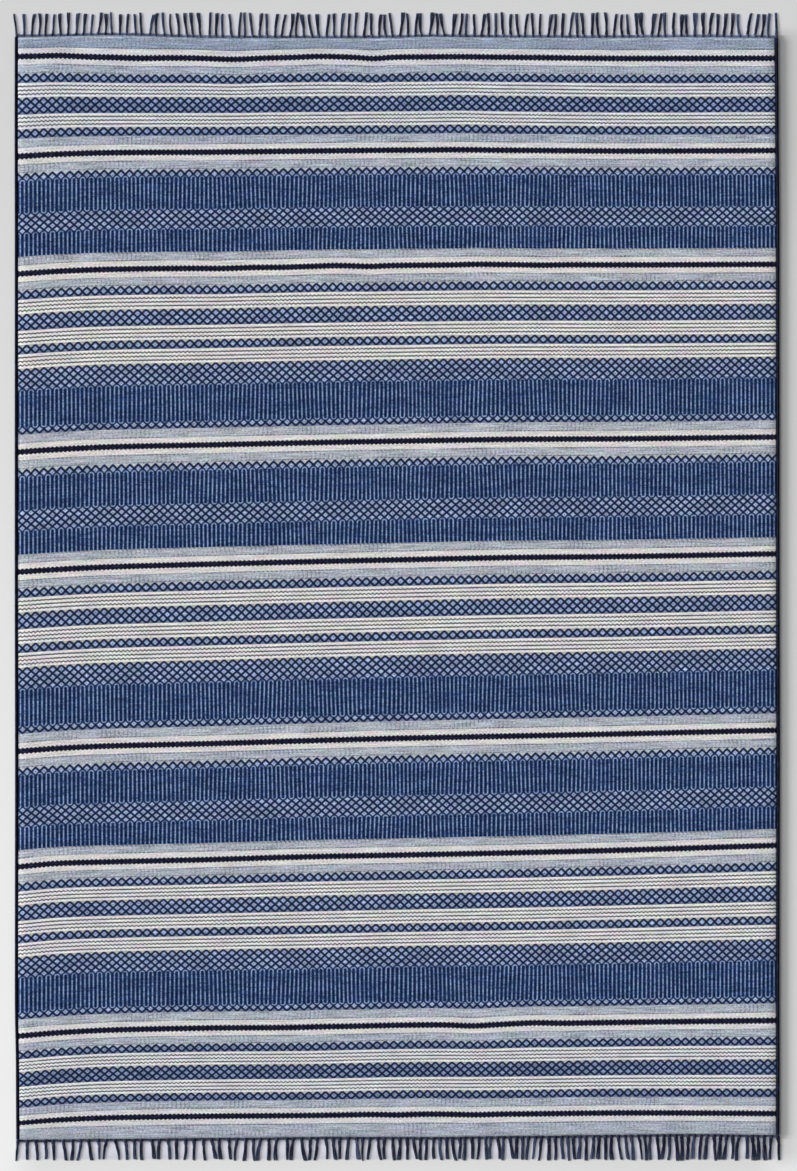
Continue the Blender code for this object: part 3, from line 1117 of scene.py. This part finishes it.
def add_knot(tubes, fringe, strand, pick):
    """The rounded knot that holds a strand at the cloth's end."""
    length = KNOT_LENGTH * pick.uniform(0.85, 1.1)
    width = fringe.girth_mm.root * MM / 2 * pick.uniform(0.9, 1.15)
    height = STRIP_HEIGHT / 2
    middle = strip_line(fringe, strand.root, STRIP_WIDTH * 0.62)
    skew = pick.uniform(-KNOT_SKEW, KNOT_SKEW)
    rings = []
    for step in range(KNOT_STEPS + 1):
        angle = math.pi * step / KNOT_STEPS
        bulge = max(math.sin(angle), 0.12) ** 0.7
        y = middle - fringe.side * length / 2 * math.cos(angle)
        x = strand.root - skew * length / 2 * math.cos(angle)
        ring = []
        for corner in range(KNOT_SIDES):
            turn = TURN * corner / KNOT_SIDES
            across, up = math.cos(turn) * width * bulge, math.sin(turn) * height * bulge
            ring.append(Vector((x + across, y, height + up)) + SHIFT)
        rings.append(ring)
    tubes.add(rings, pick.uniform(*fringe.knot_tones))


# The twined rows: their plies, how these turn and sway, and each row's own slow wave
ROW_PLIES = 3
ROW_RADIUS = 0.0008
ROW_TURN = 0.0075
ROW_SWAY = 0.0013
ROW_STEP = 0.0009
ROW_SIDES = 5
ROW_RISE = 0.75
ROW_WAVE = 0.0005
ROW_WAVE_LENGTH = 0.017


def build_root_row(fringe, material):
    """The twined yarns that run along the cloth's end under the knots."""
    tubes = Tubes(f"root_row_{fringe.name}")
    along = (1 + fringe.side) / 2
    left, right = outer_edge(-1, along), outer_edge(1, along)
    steps = round((right - left) / ROW_STEP)
    height = STRIP_HEIGHT * ROW_RISE
    swing = height / 2 - ROW_RADIUS
    for ply in range(ROW_PLIES):
        rings = []
        for step in range(steps + 1):
            x = between(left + ROW_RADIUS, right - ROW_RADIUS, step / steps)
            angle = TURN * (x / ROW_TURN + ply / ROW_PLIES)
            waves = x / ROW_WAVE_LENGTH
            wave = ROW_WAVE * (1 + math.sin(TURN * waves + 2 * math.sin(waves)))
            y = strip_line(fringe, x, ROW_RADIUS + ROW_SWAY * (1 + math.cos(angle)) + wave)
            middle = Vector((x, y, height / 2 + swing * math.sin(angle))) + SHIFT
            rings.append(ring_round(middle, Vector((1.0, 0.0, 0.0)), ROW_RADIUS, ROW_SIDES))
        tubes.add(rings, between(0.8, 1.0, ply / ROW_PLIES))
    return tubes.finished(material)


def build_fringe(fringe, material):
    """A row of frayed, knotted warp ends along one end of the cloth."""
    pick = random.Random(SEED * 7 + fringe.side)
    tubes = Tubes(f"knotted_{fringe.name}")
    for strand in planned_strands(fringe):
        add_knot(tubes, fringe, strand, pick)
        add_strand(tubes, fringe, strand, pick)
    return tubes.finished(material)


FIBRE_DEPTH = 0.0003
YARN_ROUGHNESS = 0.85


def fibre_material(name, dark, pale, pale_share, patch_size=0.006, patch_strength=0.6, root_paleness=0.0):
    """Dyed yarn: each ply its own tone, paler where it frays, with fine lengthwise fibres."""
    cloth = Cloth(name)
    tone, share = cloth.places("fibre")
    x, y = cloth.metres()
    fibres = cloth.noise(x / 0.0006, y / 0.0040, detail=2.0)
    patches = cloth.noise(x / patch_size, y / 0.010, 3.0)
    paler = tone.rising(0.55, 1.0) * 0.75 + share.rising(0.55, 0.95) * 0.30
    paler = paler + (patches - 0.5) * patch_strength
    paler = paler + share.rising(0.70, 0.0) * x.rising(0.45, -0.25) * root_paleness
    colour = cloth.blended((paler * pale_share).largest(0.0).smallest(1.0), dark, pale)
    colour = cloth.scaled(colour, 0.65 + fibres * 0.7)
    return cloth.finished(colour, fibres, FIBRE_DEPTH, YARN_ROUGHNESS)


def wrapped_material(name, dark, pale):
    """Tightly wound dark yarn, with fine fibres across the edge that it binds."""
    cloth = Cloth(name)
    x, y = cloth.metres()
    fibres = cloth.noise(x / 0.0020, y / 0.0005, detail=2.0)
    patches = cloth.noise(x / 0.01, y / 0.012, 3.0)
    colour = cloth.blended(patches.rising(0.45, 0.75), dark, pale)
    colour = cloth.scaled(colour, 0.6 + fibres * 0.8)
    return cloth.finished(colour, fibres, FIBRE_DEPTH, YARN_ROUGHNESS)


# Floor, light and camera

FLOOR_SIZE = 12.0
# The floor's tones where its painted light is dimmest and brightest
FLOOR_DARK = light(210, 210, 210)
FLOOR_BRIGHT = light(238, 238, 238)
FLOOR_ROUGHNESS = 0.9
FLOOR_GLOSS = 0.1

# Half the rug's size, its painted soft shade's reach and strength, and the painted light and shade between
# the strands
FOOTPRINT = (0.611, 0.9165)
SHADE_REACH = 0.06
SHADE_BELOW = 0.16
NO_PAINTED_LIGHT = (1.0, 1.0, 1.0)
# Painted bluish light between the far strands, painted shade between the near ones, deepest by their knots
FAR_GAP_PAINTED_LIGHT = (0.99, 0.99, 1.08)
NEAR_GAP_PAINTED_SHADE = (0.79, 0.79, 0.88)
NEAR_ROOT_PAINTED_SHADE = (0.60, 0.61, 0.70)


def floor_shade(x, y):
    """How much the rug's soft shade darkens the floor, right of it and below it."""
    half_width, half_length = FOOTPRINT
    past_right, past_near = x - half_width, -half_length - y
    beside = past_right.rising(SHADE_REACH, 0.0) * (y - half_length + 0.04).rising(0.02, 0.0)
    beside = beside * past_right.rising(-0.02, 0.0) * past_near.rising(0.02, -0.02)
    below = past_near.rising(SHADE_REACH, 0.0) * past_near.rising(-0.02, 0.0)
    below = below * (x.size() - half_width).rising(0.02, -0.05)
    strength = (0.0 - y).rising(-0.1, 0.9) * 0.16 + 0.10 + y.rising(0.5, 0.75) * 0.13
    return (beside * strength).largest(below * SHADE_BELOW)


def gap_painted_light_and_shade(paper, colour, x, y):
    """The floor's colour with painted light and shade between the strands: bluish light between the far ones,
    shade between the near ones, deepest by their knots.
    """
    half_width, half_length = FOOTPRINT
    outward = y.size() - half_length
    gaps = outward.rising(-0.042, -0.034) * outward.rising(0.0, -0.006)
    gaps = gaps * (x.size() - half_width).rising(-0.002, -0.008)
    near = y.below(0.0)
    near_painted_shade = paper.blended(outward.rising(-0.022, -0.036), NEAR_GAP_PAINTED_SHADE, NEAR_ROOT_PAINTED_SHADE)
    for here, painted_tone in ((near, near_painted_shade), (1.0 - near, FAR_GAP_PAINTED_LIGHT)):
        colour = paper.multiplied(colour, paper.blended(gaps * here, NO_PAINTED_LIGHT, painted_tone))
    return colour


def build_floor():
    """A plain pale floor, with painted light toward its near left corner and painted light and shade by the
    rug.
    """
    bpy.ops.mesh.primitive_plane_add(size=FLOOR_SIZE)
    floor = bpy.context.object
    floor.name = "studio_floor"
    paper = Cloth("studio_paper")
    x, y = paper.metres()
    # Painted light: the floor is lit more toward its near left corner
    painted_light = (0.37 - y * 0.47 - x * 0.28).rising(0.0, 1.0)
    colour = gap_painted_light_and_shade(paper, paper.blended(painted_light, FLOOR_DARK, FLOOR_BRIGHT), x, y)
    paper.link(paper.scaled(colour, 1.0 - floor_shade(x, y)), paper.shader.inputs["Base Color"])
    paper.shader.inputs["Roughness"].default_value = FLOOR_ROUGHNESS
    paper.shader.inputs["Specular IOR Level"].default_value = FLOOR_GLOSS
    floor.data.materials.append(paper.material)


# The lights: how far they are turned from due left, and the sky's colour and strength
SUN_TURN = 8.0
SKY = (0.96, 0.97, 1.0, 1.0)
SKY_STRENGTH = 0.26


def add_sun(name, elevation, spread, share, colour):
    """A soft light from the left, which alone would light a white floor to this share."""
    data = bpy.data.lights.new(name, "SUN")
    data.angle = math.radians(spread)
    data.energy = share * math.pi / math.sin(math.radians(elevation))
    data.color = colour
    sun = bpy.data.objects.new(name, data)
    turn, rise = math.radians(180 - SUN_TURN), math.radians(elevation)
    towards = Vector((math.cos(turn) * math.cos(rise), math.sin(turn) * math.cos(rise), math.sin(rise)))
    sun.rotation_euler = towards.to_track_quat("Z", "Y").to_euler()
    bpy.context.scene.collection.objects.link(sun)


def build_lights():
    add_sun("low_softbox", 14.0, 14.0, 0.45, (1.0, 0.998, 0.985))
    add_sun("high_softbox", 40.0, 40.0, 0.30, (1.0, 1.0, 1.0))
    world = bpy.data.worlds.new("studio")
    world.use_nodes = True
    sky = world.node_tree.nodes["Background"]
    sky.inputs["Color"].default_value = SKY
    sky.inputs["Strength"].default_value = SKY_STRENGTH
    bpy.context.scene.world = world
    bpy.context.scene.view_settings.view_transform = "Standard"


# The camera: how many metres of rug the picture is high, and where it stands
PHOTO_HEIGHT = 1.8668
CAMERA_HEIGHT = 4.2
CAMERA_PLACE = (0.0034, 0.0018)
SENSOR = 36.0


def build_camera():
    """Straight above the rug, far enough for hardly any perspective."""
    data = bpy.data.cameras.new("camera")
    data.sensor_width = SENSOR
    data.lens = SENSOR * (CAMERA_HEIGHT - CLOTH_THICKNESS) / PHOTO_HEIGHT
    camera = bpy.data.objects.new("camera", data)
    camera.location = (*CAMERA_PLACE, CAMERA_HEIGHT)
    bpy.context.scene.collection.objects.link(camera)
    bpy.context.scene.camera = camera


def placed(piece, slot, *nodes):
    """Puts a finished piece in the scene in place of the solids that it stands for."""
    bpy.context.scene.collection.objects.link(piece)
    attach(piece, "root")
    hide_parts(*nodes)
    return piece


def main():
    build_camera()
    build_lights()
    build_floor()
    field = placed(build_field(cloth_materials()), "woven_cloth", "rug_field")
    edge_yarn = wrapped_material("edge_yarn", EDGE_DARK, EDGE_PALE)
    fringe_yarn = fibre_material("fringe_yarn", FRINGE_DARK, FRINGE_PALE, 0.8, root_paleness=0.25)
    for word, side in (("left", -1), ("right", 1)):
        binding = build_binding(f"wrapped_edge_{word}", side, edge_yarn)
        placed(binding, "binding_yarn", f"edge_binding_{word}")
    for fringe, (row_dark, row_pale) in zip(FRINGES, ROW_COLOURS):
        row_yarn = fibre_material(f"row_yarn_{fringe.name}", row_dark, row_pale, 1.0, 0.018, 2.2)
        placed(build_fringe(fringe, fringe_yarn), "fringe_yarn", fringe.name)
        placed(build_root_row(fringe, row_yarn), "fringe_yarn", fringe.name)


main()
